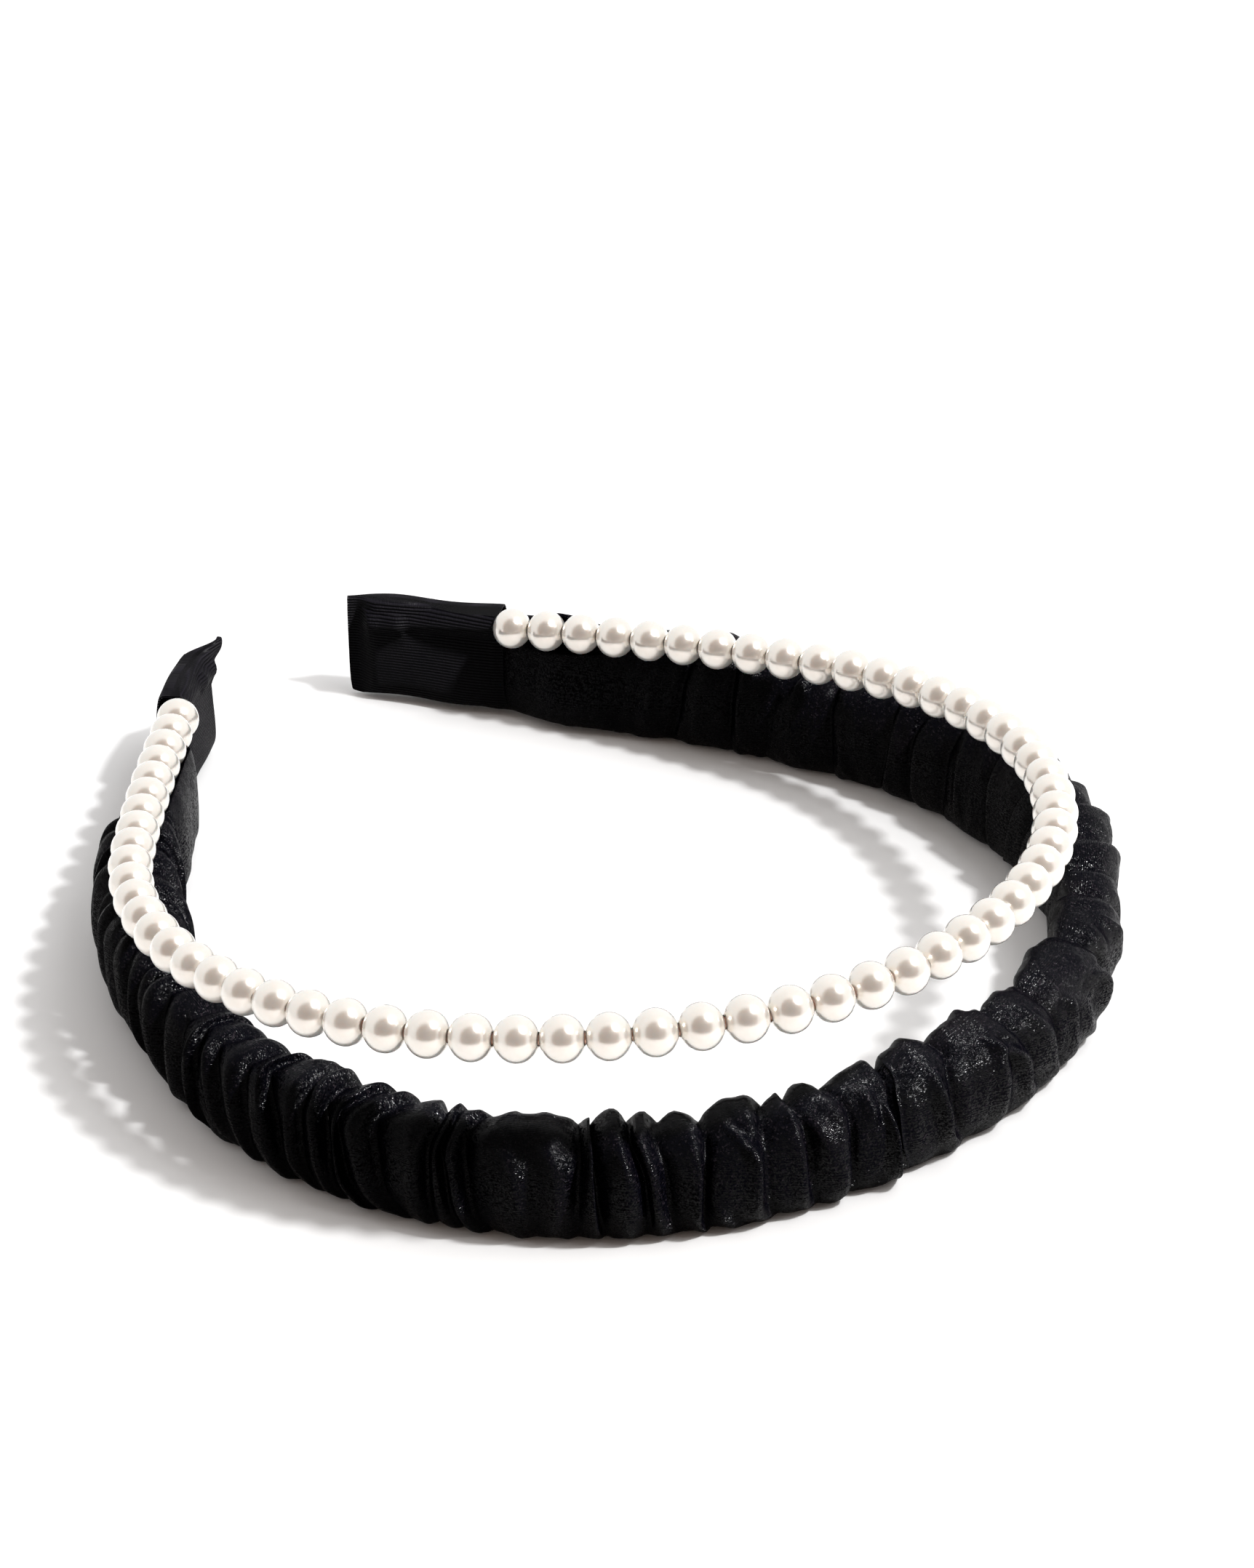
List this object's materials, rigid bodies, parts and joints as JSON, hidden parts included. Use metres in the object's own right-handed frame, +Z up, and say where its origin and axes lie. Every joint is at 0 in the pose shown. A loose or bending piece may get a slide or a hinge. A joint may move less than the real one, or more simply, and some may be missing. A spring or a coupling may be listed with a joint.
{
  "type": "headband",
  "caption": "Two-row headband: a ruched satin band and a strand of imitation pearls on a wire, bound together at both tips by ribbed ribbon wraps.",
  "frame": {"origin": "middle of the headband's outline at the level it lies on", "axes": "+Z up from the surface it lies on its side on, +Y towards the two tips, +X towards the right arm"},
  "size_m": [0.1369, 0.1556, 0.0357],
  "materials": {
    "core_strip": "black moulded plastic strip, hidden",
    "satin": "black polyester satin, gathered",
    "wire": "rose gold plated wire",
    "pearl": "pearl lacquer",
    "thread": "black lashing thread, hidden",
    "ribbon": "black grosgrain ribbon"
  },
  "bodies": {
    "crown": {"core_strip_crown": "core_strip", "satin_cover_crown": "satin", "pearl_wire_crown": "wire", "pearls_crown": "pearl"},
    "left_arm": {"core_strip_left": "core_strip", "satin_cover_left": "satin", "pearl_wire_left": "wire", "pearls_left": "pearl", "end_binding_left": "thread", "ribbon_wrap_left": "ribbon"},
    "right_arm": {"core_strip_right": "core_strip", "satin_cover_right": "satin", "pearl_wire_right": "wire", "pearls_right": "pearl", "end_binding_right": "thread", "ribbon_wrap_right": "ribbon"}
  },
  "joints": [
    {"name": "left_arm_flex", "type": "hinge", "parent": "crown", "child": "left_arm", "pos_m": [-0.05271, -0.0498, 0.0082], "axis": [0, 0, 1], "range_deg": [-4, 18], "stiffness_Nm_per_rad": 0.5},
    {"name": "right_arm_flex", "type": "hinge", "parent": "crown", "child": "right_arm", "pos_m": [0.04699, -0.04592, 0.0082], "axis": [0, 0, -1], "range_deg": [-4, 18], "stiffness_Nm_per_rad": 0.5}
  ]
}
